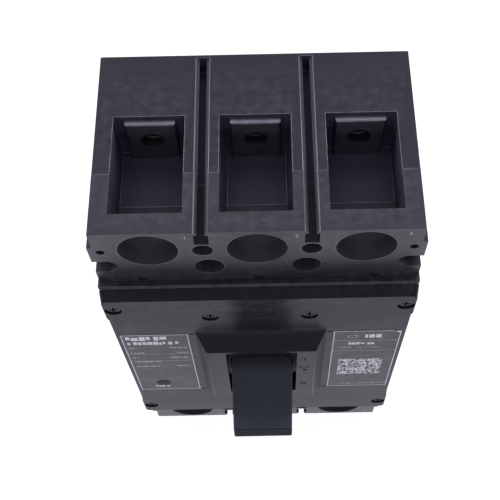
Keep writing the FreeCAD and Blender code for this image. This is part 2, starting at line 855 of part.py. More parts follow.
def handle_shield():
    """The curved strip that closes the slot in the face cover wherever the handle stands."""
    width = dim.shield_half_x * 2
    outer = rod(dim.shield_radius, -dim.shield_half_x, width, "x")
    inner = rod(dim.shield_radius - dim.shield_skin, -dim.shield_half_x - 1, width + 2, "x")
    bind(outer, Angle=dim.shield_span)
    window = block((-dim.handle_root_x - 0.3, dim.handle_root_x + 0.3), (30, 60),
                   (-dim.handle_root_z - 0.4, dim.handle_root_z + 0.4))
    # the cylinder's sector starts at its own X axis, which stands along -Z here
    spin = Rotation(Vector(1, 0, 0), 270 - 0.5 * dim.shield_span.value)
    outer.Placement = Placement(Vector(0, 0, 0), spin.multiply(ALONG["x"]))
    outer.setExpression("Placement.Base.x", (-dim.shield_half_x).formula)
    shield = cut(outer, [inner, window])
    node(shield, "handle_shield")
    put_on_handle(shield)


def handle_yoke():
    """The steel stirrup that carries the handle, and the pin that the main springs pull."""
    outer = dim.yoke_x + dim.yoke_plate
    parts = [block((-outer, outer), (33.8, 36.0), (-8, 8))]
    for side in SIDES:
        faces = [dim.yoke_x * side, outer * side]
        if side < 0:
            faces.reverse()
        parts.append(block(faces, (0, 34.5), (-6, 6)))
        parts.append(rod(6, faces[0], dim.yoke_plate, "x"))
        stub = dim.frame_x + dim.frame_plate - dim.yoke_x
        start = dim.yoke_x if side > 0 else -dim.frame_x - dim.frame_plate
        parts.append(rod(dim.pivot_radius, start, stub, "x"))
    yoke = fused(parts)
    node(yoke, "handle_yoke")
    put_on_handle(yoke)
    pin = rod(1.2, -dim.yoke_x, dim.yoke_x * 2, "x", depth=SPRING_ANCHOR)
    held = fused([pin, rod(1.8, -1, 2, "x", depth=SPRING_ANCHOR)])
    node(held, "spring_anchor_pin")
    put_on_handle(held)


# outlines and pivots of the mechanism, as z and depth
FRAME_OUTLINE = [(-36, 66), (-36, 82), (-22, 88), (31, 88), (36, 82), (36, 30), (20, 8.2),
                 (-30, 8.2), (-30, 60)]
CRADLE_PIVOT = (26, 82)
CRADLE_STUD = (6, 82)
LATCH_PIVOT = (-32, 72)
KNEE = (-4.2, 67.8)
SPACERS = ((26, 22), (-24, 16))


def mechanism_frames():
    gap = dim.running_gap
    holes = [(dim.pivot_z, dim.pivot_depth, dim.pivot_radius + gap),
             (dim.shaft_z, dim.shaft_depth, dim.shaft_radius + 0.3),
             (*CRADLE_PIVOT, 2 + gap), (*LATCH_PIVOT, 1.5 + gap)]
    for name, side in (("mechanism_frame_left", -1), ("mechanism_frame_right", 1)):
        body = new_body(name)
        start = dim.frame_x if side > 0 else -dim.frame_x - dim.frame_plate
        outline = sketch_on(body, "YZ", start)
        polygon(outline, [(-depth, z) for z, depth in FRAME_OUTLINE])
        pad(body, outline, dim.frame_plate)
        openings = sketch_on(body, "YZ", start + dim.frame_plate)
        for z, depth, radius in holes:
            circle(openings, -size(depth), z, radius)
        pocket(body, openings, dim.frame_plate + 1)
    spacers = [rod(2.5, -dim.frame_x, dim.frame_x * 2, "x", depth=depth, z=z) for z, depth in SPACERS]
    node(group(spacers), "frame_spacers")


def cradle():
    """The lever that the latch holds; its own pin turns in the frames."""
    body = new_body("cradle")
    outline = sketch_on(body, "YZ", -2)
    profile = [(23, 78.5), (31, 78.5), (31, 84), (24, 87), (-16, 87), (-29, 81), (-29, 77),
               (-14, 79.5), (12, 79.5)]
    polygon(outline, [(-depth, z) for z, depth in profile])
    pad(body, outline, 4)
    reach = dim.frame_x + dim.frame_plate
    z, depth = CRADLE_PIVOT
    node(rod(2, -reach, reach * 2, "x", depth=depth, z=z), "cradle_pin")
    bore = sketch_on(body, "YZ", 3)
    circle(bore, -depth, z, 2)
    pocket(body, bore, 6)
    stud = sketch_on(body, "YZ", -3.6)
    circle(stud, -CRADLE_STUD[1], CRADLE_STUD[0], 1.6)
    pad(body, stud, 7.2)


def latch():
    z, depth = LATCH_PIVOT
    reach = dim.frame_x + dim.frame_plate
    plate = block((-7, 7), (66, 84), (z - 1, z + 1))
    barrel = rod(2.6, -7, 14, "x", depth=depth, z=z)
    pin = rod(1.5, -reach, reach * 2, "x", depth=depth, z=z)
    node(cut(fused([plate, barrel]), [rod(1.5, -8, 16, "x", depth=depth, z=z)]), "latch_plate")
    node(pin, "latch_pin")


def about_shaft(thing, x=0):
    """Place something drawn about the contact shaft's axis with the contacts closed."""
    place(thing, x=x, y=-dim.shaft_depth, z=dim.shaft_z, rotation=Rotation(Vector(1, 0, 0), 12.8))
    thing.setExpression("Placement.Rotation.Angle", "Dims.arm_opening")


def contact_shaft():
    """The insulating shaft that turns all three contact arms, with the toggle's crank."""
    shaft = rod(dim.shaft_radius, -dim.shaft_half, dim.shaft_half * 2, "x")
    lugs = []
    for side in SIDES:
        faces = sorted((6.2 * side, 9.4 * side))
        lugs.append(block(faces, (0, dim.crank_depth), (5, dim.crank_z + 2)))
        lugs.append(rod(4.4, faces[0], 3.2, "x", depth=dim.crank_depth, z=dim.crank_z))
    grooves = []
    for pole in POLES:
        centre = dim.pole_pitch * pole
        half = dim.arm_width / 2 + 0.1
        grooves.append(block((centre - half, centre + half), (dim.arm_low - 0.1, dim.arm_high + 1),
                             (2.9, dim.shaft_radius + 1)))
    pin_bore = rod(dim.link_radius, -12, 24, "x", depth=dim.crank_depth, z=dim.crank_z)
    body = cut(fused([shaft] + lugs), grooves + [pin_bore])
    node(body, "contact_shaft")
    about_shaft(body)


def crank_pin():
    pin = group([rod(dim.link_radius, -13.4, 26.8, "x", depth=dim.crank_depth, z=dim.crank_z)])
    node(pin, "crank_pin")
    about_shaft(pin)


def contact_arms():
    half = dim.arm_width / 2
    tips = []
    for number, pole in enumerate(POLES, start=1):
        body = new_body("contact_arm_%d" % number)
        side_view = sketch_on(body, "YZ", -half)
        polygon(side_view, [(-dim.arm_low, 3), (-dim.arm_low, dim.arm_reach),
                            (-dim.arm_high + 3, dim.arm_reach), (-dim.arm_high, dim.arm_reach - 6),
                            (-dim.arm_high, 3)])
        pad(body, side_view, dim.arm_width)
        about_shaft(body, dim.pole_pitch * pole)
        centre = dim.pole_pitch * pole
        tips.append(block((centre - half, centre + half), (0.3, dim.arm_low), (60, 70)))
    moving = group(tips)
    node(moving, "moving_contacts")
    about_shaft(moving)


def toggle_links(label, faces, start, end, far_radius):
    """A pair of plates from one pin's z and depth to another's."""
    across = end[0] - start[0]
    along = end[1] - start[1]
    length = math.hypot(across, along)
    plates = []
    for side in SIDES:
        edges = sorted((faces[0] * side, faces[1] * side))
        thickness = faces[1] - faces[0]
        outline = fused([block(edges, (-3.7, 3.7), (0, length)),
                         rod(3.7, edges[0], thickness, "x"),
                         rod(3.7, edges[0], thickness, "x", z=length)])
        bores = [rod(dim.link_radius + dim.running_gap, edges[0] - 1, thickness + 2, "x"),
                 rod(far_radius, edges[0] - 1, thickness + 2, "x", z=length)]
        plates.append(cut(outline, bores))
    pair = group(plates)
    node(pair, label)
    angle = math.degrees(math.atan2(along, across))
    place(pair, y=-size(start[1]), z=start[0], rotation=Rotation(Vector(1, 0, 0), angle))


def crank_position():
    """The crank pin's z and depth with the handle in the tripped position."""
    turn = math.radians(dim.arm_opening.value)
    z, depth = dim.crank_z.value, dim.crank_depth.value
    return (dim.shaft_z.value + z * math.cos(turn) - depth * math.sin(turn),
            dim.shaft_depth.value + z * math.sin(turn) + depth * math.cos(turn))


def toggle():
    toggle_links("lower_toggle_links", (11.3, 12.8), crank_position(), KNEE, dim.link_radius)
    toggle_links("upper_toggle_links", (9.7, 10.9), KNEE, CRADLE_STUD, size(2.6))
    node(group([rod(dim.link_radius, -12.8, 25.6, "x", depth=KNEE[1], z=KNEE[0])]), "knee_pin")


def coil(radius, wire, turns, length):
    """A helical spring along +Z, as a solid."""
    helix = Part.makeHelix(length / turns, length, radius)
    profile = Part.Wire([Part.Circle(Vector(radius, 0, 0), Vector(0, 1, 0), wire).toShape()])
    return Part.Wire(helix).makePipeShell([profile], True, True)


def spring_node(label, springs):
    feature = doc.addObject("Part::Feature", "Spring")
    feature.Shape = Part.makeCompound(springs) if len(springs) > 1 else springs[0]
    node(feature, label)
    return feature


def main_springs():
    tilt = math.radians(dim.handle_tilt.value)
    anchor = (dim.pivot_z.value + SPRING_ANCHOR * math.sin(tilt),
              dim.pivot_depth.value + SPRING_ANCHOR * math.cos(tilt))
    low = Vector(0, -KNEE[1], KNEE[0])
    high = Vector(0, -anchor[1], anchor[0])
    direction = (high - low).normalize()
    length = (high - low).Length - 8.4
    springs = []
    for side in SIDES:
        spring = coil(2.2, 0.45, 12, length)
        spring.Placement = Placement(low + direction * 4.2 + Vector(6.5 * side, 0, 0),
                                     Rotation(Vector(0, 0, 1), direction))
        springs.append(spring)
    spring_node("main_springs", springs)


# ---------------------------------------------------------------- trip unit


def trip_units():
    magnet_back = dim.heater_z - 5.2
    calibration = []
    for number, pole in enumerate(POLES, start=1):
        x = dim.pole_pitch * pole
        foot = block((x - 6, x + 6), (dim.bar_front, dim.bar_front + 3), (-76, dim.heater_z + 3))
        rise = block((x - 6, x + 6), (dim.bar_front, 62), (dim.heater_z, dim.heater_z + 3))
        node(fused([foot, rise]), "heater_strip_%d" % number)
        node(block((x - 5, x + 5), (42, 87), (dim.heater_z - 1.2, dim.heater_z)),
             "bimetal_strip_%d" % number)
        base = dim.bar_front + 3.1
        yoke = [block((x - 11, x + 11), (base, 64), (magnet_back, magnet_back + 2))]
        for side in SIDES:
            edges = sorted((9 * side, 11 * side))
            yoke.append(block((x + edges[0], x + edges[1]), (base, 64), (magnet_back, -52)))
        node(fused(yoke), "magnet_yoke_%d" % number)
        node(fused([block((x - 11, x + 11), (43, 71), (dim.armature_z, dim.armature_z + 2)),
                    rod(1.6, x - 11, 22, "x", depth=43, z=dim.armature_z + 1)]),
             "armature_%d" % number)
        calibration.append(rod(1.5, dim.trip_bar_z - 4.3, 6.3, "z", x=x, depth=dim.trip_bar_depth))
    node(group(calibration), "calibration_screws")


def trip_bar():
    """The plastic shaft that any pole, or the button, turns to release the latch."""
    axis = dim.trip_bar_depth - 8
    bar = [rod(dim.trip_bar_radius, -64, 128, "x", depth=axis, z=dim.trip_bar_z)]
    bores = []
    for pole in POLES:
        x = dim.pole_pitch * pole
        bar.append(block((x - 4, x + 4), (axis, axis + 11), (dim.trip_bar_z - 3.3, dim.trip_bar_z + 1)))
        bar.append(block((x - 4, x + 4), (axis - 11.5, axis), (dim.trip_bar_z, dim.trip_bar_z + 3.8)))
        bores.append(rod(1.5, dim.trip_bar_z - 5, 8, "z", x=x, depth=dim.trip_bar_depth))
    bar.append(block((dim.button_x - 2, dim.button_x + 2), (axis + 1, axis + 3.2),
                     (dim.trip_bar_z + 2, dim.button_z + 3)))
    node(cut(fused(bar), bores), "trip_bar")
    brackets = []
    for side in SIDES:
        centre = dim.slot_x * side
        plate = block((centre - 2, centre + 2), (dim.parting_depth, axis + 5),
                      (dim.trip_bar_z - 5, dim.trip_bar_z + 5))
        bore = rod(dim.trip_bar_radius + dim.running_gap, centre - 3, 6, "x", depth=axis,
                   z=dim.trip_bar_z)
        brackets.append(cut(plate, [bore]))
    node(group(brackets), "trip_bar_brackets")


def trip_button():
    low = dim.trip_bar_depth - 1.5
    stem = rod(dim.button_radius, low, dim.cover_depth - low + 0.3, "front",
               x=dim.button_x, z=dim.button_z)
    collar = rod(dim.button_collar, dim.cover_depth - dim.cover_skin - 1.8, 1.6, "front",
                 x=dim.button_x, z=dim.button_z)
    node(fused([stem, collar]), "trip_button")
    spring = coil(4.7, 0.45, 4, 5.8)
    bottom = (dim.housing_top - dim.bay_depth).value + 0.5
    spring.Placement = Placement(Vector(dim.button_x.value, -bottom, dim.button_z.value),
                                 Rotation(Vector(1, 0, 0), 90))
    spring_node("trip_button_spring", [spring])


def braids():
    """A flexible copper braid in each pole, from the heater under the shaft to the arm."""
    for number, pole in enumerate(POLES, start=1):
        body = new_body("flexible_braid_%d" % number)
        route = sketch_on(body, "YZ", -4)
        outer = [(-58, 54), (-58, 42), (-52, 27), (-40, 21), (2, 21), (14, 26), (20, 38), (20, 48.9)]
        inner = [(17.6, 48.4), (17.6, 39), (12, 28.4), (1, 23.4), (-39, 23.4), (-50, 28.6),
                 (-55.6, 42.6), (-55.6, 54)]
        polygon(route, [(-depth, z) for z, depth in outer + inner])
        pad(body, route, 8)
        place(body, x=dim.pole_pitch * pole)


# ---------------------------------------------------------------- assembly

rear_base()
front_housing()
face_cover()
rating_plate("rating_plate_left", -1)
rating_plate("rating_plate_right", 1)
screws()
terminals()
arc_chutes()
operating_handle()
handle_shield()
handle_yoke()
mechanism_frames()
cradle()
latch()
contact_shaft()
crank_pin()
contact_arms()
toggle()
main_springs()
trip_units()
trip_bar()
trip_button()
braids()

doc.recompute()
for thing in doc.Objects:
    if "Invalid" in thing.State or "Error" in thing.State:
        raise ValueError("%s failed: %s" % (thing.Label, thing.State))
os.makedirs("parts", exist_ok=True)
for thing in NODES:
    if thing.Shape.isNull() or not thing.Shape.isValid() or not thing.Shape.Solids:
        raise ValueError("%s has no valid solid" % thing.Label)
for thing in NODES:
    thing.Shape.exportStep("parts/%s.step" % thing.Label)
print(len(NODES), "nodes written")
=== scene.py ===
"""The looks of a three-pole moulded case circuit breaker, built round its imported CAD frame.

Metres, in the frame of the CAD: X across the poles, -Y out of the front, +Z to the line end.
"""

import math
import random

import bmesh
import bpy
from mathutils import Matrix, Vector


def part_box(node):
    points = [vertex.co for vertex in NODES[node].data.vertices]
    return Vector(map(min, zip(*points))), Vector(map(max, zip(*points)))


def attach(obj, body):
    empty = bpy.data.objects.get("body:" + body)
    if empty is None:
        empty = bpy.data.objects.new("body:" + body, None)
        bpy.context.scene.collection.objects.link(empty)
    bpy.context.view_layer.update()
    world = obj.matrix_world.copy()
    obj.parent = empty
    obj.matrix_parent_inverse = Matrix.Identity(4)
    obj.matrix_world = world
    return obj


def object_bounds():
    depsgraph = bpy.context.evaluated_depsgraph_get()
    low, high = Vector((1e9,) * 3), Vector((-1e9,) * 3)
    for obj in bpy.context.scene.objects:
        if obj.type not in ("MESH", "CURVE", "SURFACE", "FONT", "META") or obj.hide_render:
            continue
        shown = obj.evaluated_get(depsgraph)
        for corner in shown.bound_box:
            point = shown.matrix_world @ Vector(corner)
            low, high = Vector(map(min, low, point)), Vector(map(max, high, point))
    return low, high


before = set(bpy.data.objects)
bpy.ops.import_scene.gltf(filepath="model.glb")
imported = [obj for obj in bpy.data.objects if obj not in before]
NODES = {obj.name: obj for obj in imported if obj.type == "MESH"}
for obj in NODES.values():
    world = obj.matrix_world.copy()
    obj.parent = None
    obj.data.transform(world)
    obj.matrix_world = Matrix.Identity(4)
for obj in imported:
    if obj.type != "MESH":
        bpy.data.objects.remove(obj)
CAD_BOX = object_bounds()
MM = 0.001
POLES = (-48 * MM, 0.0, 48 * MM)

# depths of front faces, from the flat back; beyond the last of them the handle's end face is
# painted darker, as painted shade
BASE_FRONT = 65.2 * MM
STEP_FRONT = 95.4 * MM
HANDLE_SHADE_DEPTH = 147.4 * MM

# a moulding's windows and holes lie inside these half sizes, behind its front and ahead of its
# back; walls there are painted paler, as painted light
RECESS_HALF_X = 66 * MM
RECESS_HALF_Z = 127.9 * MM
RECESS_BEHIND_FRONT = 0.4 * MM
RECESS_AHEAD_OF_BACK = 1 * MM


# ---------------------------------------------------------------- shader building


class Shader:
    """A material's node tree round one Principled shader, with short ways to add to it."""

    def __init__(self, name):
        self.material = bpy.data.materials.new(name)
        self.material.use_nodes = True
        self.tree = self.material.node_tree
        self.surface = self.tree.nodes["Principled BSDF"]
        self.place = self.add("ShaderNodeTexCoord").outputs["Object"]

    def add(self, kind, **settings):
        made = self.tree.nodes.new(kind)
        for key, value in settings.items():
            setattr(made, key, value)
        return made

    def join(self, source, target):
        self.tree.links.new(source, target)

    def constant(self, **values):
        """Set the shader's own sockets; an underscore in a name stands for a space."""
        for key, value in values.items():
            self.surface.inputs[key.replace("_", " ")].default_value = value

    def stretched(self, scale):
        """The object's coordinates, scaled by (x, y, z)."""
        mapping = self.add("ShaderNodeMapping")
        mapping.inputs["Scale"].default_value = scale
        self.join(self.place, mapping.inputs["Vector"])
        return mapping.outputs["Vector"]

    def noise(self, scale, detail=2.0, rough=0.5, stretch=None):
        """Noise from 0 to 1 with features of about 1 / scale metres."""
        texture = self.add("ShaderNodeTexNoise")
        texture.inputs["Scale"].default_value = scale
        texture.inputs["Detail"].default_value = detail
        texture.inputs["Roughness"].default_value = rough
        source = self.place if stretch is None else self.stretched(stretch)
        self.join(source, texture.inputs["Vector"])
        return texture.outputs["Fac"]

    def ramp(self, source, low, high, start=0.0, end=1.0):
        """Map source from low..high to start..end."""
        spread = self.add("ShaderNodeMapRange")
        spread.inputs["From Min"].default_value = low
        spread.inputs["From Max"].default_value = high
        spread.inputs["To Min"].default_value = start
        spread.inputs["To Max"].default_value = end
        self.join(source, spread.inputs["Value"])
        return spread.outputs["Result"]

    def blend(self, amount, first, second):
        """A colour between first and second; either can be a colour or a socket."""
        mix = self.add("ShaderNodeMix", data_type="RGBA")
        self.join(amount, mix.inputs["Factor"])
        for side, value in (("A", first), ("B", second)):
            socket = [item for item in mix.inputs if item.name == side and item.type == "RGBA"][0]
            if isinstance(value, tuple):
                socket.default_value = (*value, 1.0)
            else:
                self.join(value, socket)
        return [item for item in mix.outputs if item.type == "RGBA"][0]

    def times(self, first, second):
        product = self.add("ShaderNodeMath", operation="MULTIPLY")
        self.join(first, product.inputs[0])
        if isinstance(second, (int, float)):
            product.inputs[1].default_value = second
        else:
            self.join(second, product.inputs[1])
        return product.outputs["Value"]

    def bump(self, height, distance, strength=1.0, under=None):
        """Push the normal by a height of 0 to 1 times a distance in metres."""
        relief = self.add("ShaderNodeBump")
        relief.inputs["Strength"].default_value = strength
        relief.inputs["Distance"].default_value = distance
        self.join(height, relief.inputs["Height"])
        if under is not None:
            self.join(under, relief.inputs["Normal"])
        self.join(relief.outputs["Normal"], self.surface.inputs["Normal"])
        return relief.outputs["Normal"]

    def edges(self, low, high):
        """1 on sharp outer edges, 0 elsewhere."""
        return self.ramp(self.add("ShaderNodeNewGeometry").outputs["Pointiness"], low, high)

    def within(self, half_x, depths, half_z):
        """1 inside a box, 0 outside: its half widths in x and z, and its two depths."""
        split = self.add("ShaderNodeSeparateXYZ")
        self.join(self.place, split.inputs["Vector"])
        inside = None
        middle = -(depths[0] + depths[1]) / 2
        half_y = (depths[1] - depths[0]) / 2
        for axis, centre, half in (("X", 0.0, half_x), ("Z", 0.0, half_z), ("Y", middle, half_y)):
            near = self.add("ShaderNodeMath", operation="COMPARE")
            near.inputs[1].default_value = centre
            near.inputs[2].default_value = half
            self.join(split.outputs[axis], near.inputs[0])
            result = near.outputs["Value"]
            inside = result if inside is None else self.times(inside, result)
        return inside

    def mixed(self, amount, first, second):
        """A number that goes from the socket first to the plain number second."""
        mix = self.add("ShaderNodeMix", data_type="FLOAT")
        mix.inputs[3].default_value = second
        self.join(amount, mix.inputs[0])
        self.join(first, mix.inputs[2])
        return mix.outputs[0]

    def colour(self, socket):
        self.join(socket, self.surface.inputs["Base Color"])

    def roughness(self, socket):
        self.join(socket, self.surface.inputs["Roughness"])


def moulded(name, colour, rough, grain=4.0, sheen=0.5, recess_painted_light=None, painted_shade_depth=None):
    """Moulded thermoset: spark-eroded grain, slow gloss changes, and edges paler in rubbed patches,
    partly real rubbing and partly painted highlight.

    Given a moulding's front depth and a paling number, walls of windows and holes behind
    that front are duller, and painted paler by that number, as painted light.
    Given a depth, a lever's end face beyond it is painted darker, as painted shade.
    """
    shader = Shader(name)
    pale = tuple(min(1.0, channel * 1.9 + 0.012) for channel in colour)
    flow = shader.noise(26, 3, 0.55)
    mottled = shader.blend(shader.ramp(flow, 0.3, 0.7), colour,
                           tuple(channel * 1.07 for channel in colour))
    # painted highlight: sharp edges paler in rubbed-looking patches
    edge_wear_and_highlight = shader.times(shader.edges(0.52, 0.60), shader.ramp(shader.noise(240, 3), 0.35, 0.75))
    surface = shader.blend(edge_wear_and_highlight, mottled, pale)
    gloss = shader.ramp(shader.noise(70, 4, 0.6), 0.25, 0.75, rough - 0.015, rough + 0.015)
    # painted light: window and hole walls take the plain colour made paler
    if recess_painted_light is not None:
        front, painted_light_factor = recess_painted_light
        depths = (RECESS_AHEAD_OF_BACK, front - RECESS_BEHIND_FRONT)
        inside = shader.within(RECESS_HALF_X, depths, RECESS_HALF_Z)
        surface = shader.blend(inside, surface, tuple(channel * painted_light_factor for channel in colour))
        gloss = shader.mixed(inside, gloss, 0.7)
    # painted shade: the lever's end face beyond the given depth is darker
    if painted_shade_depth is not None:
        behind = shader.within(1.0, (0.0, painted_shade_depth), 1.0)
        surface = shader.blend(behind, tuple(channel * 0.2 for channel in colour), surface)
    shader.colour(surface)
    shader.roughness(gloss)
    fine = shader.bump(shader.noise(5200, 2, 0.6), grain * 1e-6)
    shader.bump(shader.noise(34, 2, 0.5), 60e-6, 0.06, under=fine)
    shader.constant(Specular_IOR_Level=sheen)
    return shader.material


def metal(name, colour, rough, tarnish, brushed=(1.0, 1.0, 1.0)):
    """Plated or bare metal: drawn lines along one axis, with stains that dull it."""
    shader = Shader(name)
    stain = shader.ramp(shader.noise(190, 5, 0.62), 0.42, 0.72)
    shader.colour(shader.blend(stain, colour, tarnish))
    lines = shader.noise(2600, 3, 0.6, stretch=brushed)
    shader.roughness(shader.ramp(lines, 0.3, 0.7, rough - 0.06, rough + 0.12))
    shader.bump(lines, 5e-6, 0.6)
    shader.constant(Metallic=1.0)
    return shader.material


def fibre_board():
    """Vulcanised fibre: red-brown with pressed strands."""
    shader = Shader("fibre_board")
    strands = shader.noise(900, 4, 0.65, stretch=(1.0, 0.12, 1.0))
    shader.colour(shader.blend(strands, (0.30, 0.085, 0.045), (0.44, 0.15, 0.085)))
    shader.roughness(shader.ramp(strands, 0.3, 0.7, 0.62, 0.8))
    shader.bump(strands, 25e-6, 0.7)
    return shader.material


def woven_copper():
    """A flat braid: two sets of crossing wires."""
    shader = Shader("woven_copper")
    sets = []
    for turn in (1, -1):
        wires = shader.add("ShaderNodeTexWave", wave_type="BANDS", bands_direction="DIAGONAL")
        wires.inputs["Scale"].default_value = 420
        wires.inputs["Distortion"].default_value = 0.4
        shader.join(shader.stretched((turn, 1.0, 1.0)), wires.inputs["Vector"])
        sets.append(wires.outputs["Fac"])
    weave = shader.times(sets[0], sets[1])
    shader.colour(shader.blend(weave, (0.20, 0.085, 0.045), (0.76, 0.42, 0.27)))
    shader.roughness(shader.ramp(weave, 0.0, 1.0, 0.55, 0.28))
    shader.bump(weave, 120e-6)
    shader.constant(Metallic=1.0)
    return shader.material


def film(name, colour):
    """A printed polyester label: smooth, faintly wavy, its gloss a little uneven."""
    shader = Shader(name)
    tone = shader.noise(45, 3, 0.5)
    shader.colour(shader.blend(tone, colour, tuple(channel * 1.12 for channel in colour)))
    shader.roughness(shader.ramp(shader.noise(130, 3, 0.55), 0.3, 0.7, 0.36, 0.45))
    fine = shader.bump(shader.noise(2600, 2), 2e-6)
    shader.bump(shader.noise(60, 1), 40e-6, 0.15, under=fine)
    shader.constant(Specular_IOR_Level=0.28)
    return shader.material


def ink(name, colour, sheen=0.5):
    """Printed or filled marks, worn thin in places."""
    shader = Shader(name)
    thin = shader.ramp(shader.noise(1400, 3, 0.6), 0.3, 0.62)
    shader.colour(shader.blend(thin, tuple(channel * 0.45 for channel in colour), colour))
    shader.roughness(shader.ramp(shader.noise(900, 2), 0.3, 0.7, 0.5, 0.65))
    shader.constant(Specular_IOR_Level=sheen)
    return shader.material


# ---------------------------------------------------------------- finishes of the CAD nodes

FINISHES = {
    # walls of windows and holes in these mouldings are painted paler by the given numbers: painted
    # light
    "base_plastic": moulded("base_plastic", (0.0120, 0.0112, 0.0175), 0.44, sheen=0.32,
                            recess_painted_light=(BASE_FRONT, 3.4)),
    "housing_plastic": moulded("housing_plastic", (0.0180, 0.0182, 0.0235), 0.36, sheen=0.36,
                               recess_painted_light=(STEP_FRONT, 1.5)),
    "cover_plastic": moulded("cover_plastic", (0.0115, 0.0115, 0.0160), 0.31, sheen=0.09),
    # the handle's end face is painted darker beyond its given depth: painted shade
    "handle_plastic": moulded("handle_plastic", (0.064, 0.073, 0.083), 0.6, grain=6.0, sheen=0.04,
                              painted_shade_depth=HANDLE_SHADE_DEPTH),
    "shield_plastic": moulded("shield_plastic", (0.006, 0.006, 0.008), 0.6, sheen=0.2),
    "inner_plastic": moulded("inner_plastic", (0.035, 0.030, 0.026), 0.5),
    "button_plastic": moulded("button_plastic", (0.006, 0.006, 0.007), 0.5, sheen=0.1),
    "label_film": film("label_film", (0.017, 0.017, 0.021)),
    # painted highlight: the pale finish of the rings at the hole rims
    "painted_rim_highlight": moulded("painted_rim_highlight", (0.06, 0.06, 0.068), 0.3, grain=2.0, sheen=0.5),
    # painted highlight: the pale finish of the bevelled moulding edges
    "painted_edge_highlight": moulded("painted_edge_highlight", (0.17, 0.17, 0.19), 0.26, grain=2.0, sheen=0.6),
    "tinned_copper": metal("tinned_copper", (0.24, 0.23, 0.26), 0.42, (0.17, 0.16, 0.18),
                           brushed=(1.0, 1.0, 0.06)),
    "bare_copper": metal("bare_copper", (0.80, 0.42, 0.26), 0.30, (0.42, 0.20, 0.13),
                         brushed=(1.0, 1.0, 0.06)),
    "zinc_steel": metal("zinc_steel", (0.63, 0.63, 0.60), 0.34, (0.47, 0.46, 0.41)),
    "black_steel": metal("black_steel", (0.045, 0.045, 0.048), 0.42, (0.10, 0.095, 0.09)),
    "ground_steel": metal("ground_steel", (0.66, 0.66, 0.66), 0.20, (0.52, 0.51, 0.50),
                          brushed=(0.05, 1.0, 1.0)),
    "soft_iron": metal("soft_iron", (0.40, 0.40, 0.39), 0.42, (0.27, 0.25, 0.23)),
    "bimetal": metal("bimetal", (0.60, 0.56, 0.50), 0.32, (0.45, 0.38, 0.30),
                     brushed=(1.0, 0.06, 1.0)),
    "spring_steel": metal("spring_steel", (0.34, 0.34, 0.35), 0.30, (0.20, 0.19, 0.19)),
    "silver_alloy": metal("silver_alloy", (0.80, 0.79, 0.76), 0.38, (0.50, 0.47, 0.42)),
    "fibre_board": fibre_board(),
    "woven_copper": woven_copper(),
}

# what each node is made of, by the start of its name; the first that fits is taken
MADE_OF = [
    ("rear_base", "base_plastic"),
    ("front_housing", "housing_plastic"),
    ("face_cover_screws", "black_steel"),
    ("face_cover", "cover_plastic"),
    ("rating_plate", "label_film"),
    ("housing_screws", "black_steel"),
    ("line_terminal", "tinned_copper"),
    ("load_terminal", "tinned_copper"),
    ("terminal_nuts", "zinc_steel"),
    ("fixed_contacts", "silver_alloy"),
    ("moving_contacts", "silver_alloy"),
    ("arc_plates", "soft_iron"),
    ("arc_chute_walls", "fibre_board"),
    ("operating_handle", "handle_plastic"),
    ("handle_shield", "shield_plastic"),
    ("handle_yoke", "zinc_steel"),
    ("spring_anchor_pin", "ground_steel"),
    ("mechanism_frame", "zinc_steel"),
    ("frame_spacers", "zinc_steel"),
    ("cradle_pin", "ground_steel"),
    ("cradle", "zinc_steel"),
    ("latch_plate", "zinc_steel"),
    ("latch_pin", "ground_steel"),
    ("contact_shaft", "inner_plastic"),
    ("contact_arm", "bare_copper"),
    ("crank_pin", "ground_steel"),
    ("knee_pin", "ground_steel"),
    ("lower_toggle_links", "zinc_steel"),
    ("upper_toggle_links", "zinc_steel"),
    ("main_springs", "spring_steel"),
    ("heater_strip", "bare_copper"),
    ("bimetal_strip", "bimetal"),
    ("magnet_yoke", "soft_iron"),
    ("armature", "soft_iron"),
    ("calibration_screws", "zinc_steel"),
    ("trip_bar_brackets", "fibre_board"),
    ("trip_bar", "inner_plastic"),
    ("trip_button_spring", "spring_steel"),
    ("trip_button", "button_plastic"),
    ("flexible_braid", "woven_copper"),
]


def finish_nodes():
    for name, thing in NODES.items():
        finish = next(made_of for start, made_of in MADE_OF if name.startswith(start))
        thing.data.materials.clear()
        thing.data.materials.append(FINISHES[finish])


def soften_edges(name, width):
    """A narrow bevel along a moulding's outer edges that catches the light, its pale finish a
    painted highlight.
    """
    thing = NODES[name]
    merge = thing.modifiers.new("merge", "WELD")
    merge.merge_threshold = 1e-6
    flat = thing.modifiers.new("flat", "DECIMATE")
    flat.decimate_type = "DISSOLVE"
    flat.angle_limit = math.radians(1.0)
    bevel = thing.modifiers.new("edge", "BEVEL")
    bevel.width = width
    bevel.segments = 2
    bevel.limit_method = "ANGLE"
    bevel.angle_limit = math.radians(35)
    bevel.harden_normals = True
    bevel.use_clamp_overlap = True
    # painted highlight: the bevel's faces take a pale finish
    thing.data.materials.append(FINISHES["painted_edge_highlight"])
    bevel.material = len(thing.data.materials) - 1


# ---------------------------------------------------------------- printed marks


def piece(name, mesh, finish, body="housing"):
    made = bpy.data.objects.new(name, mesh)
    bpy.context.scene.collection.objects.link(made)
    mesh.materials.append(finish)
    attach(made, body)
    return made


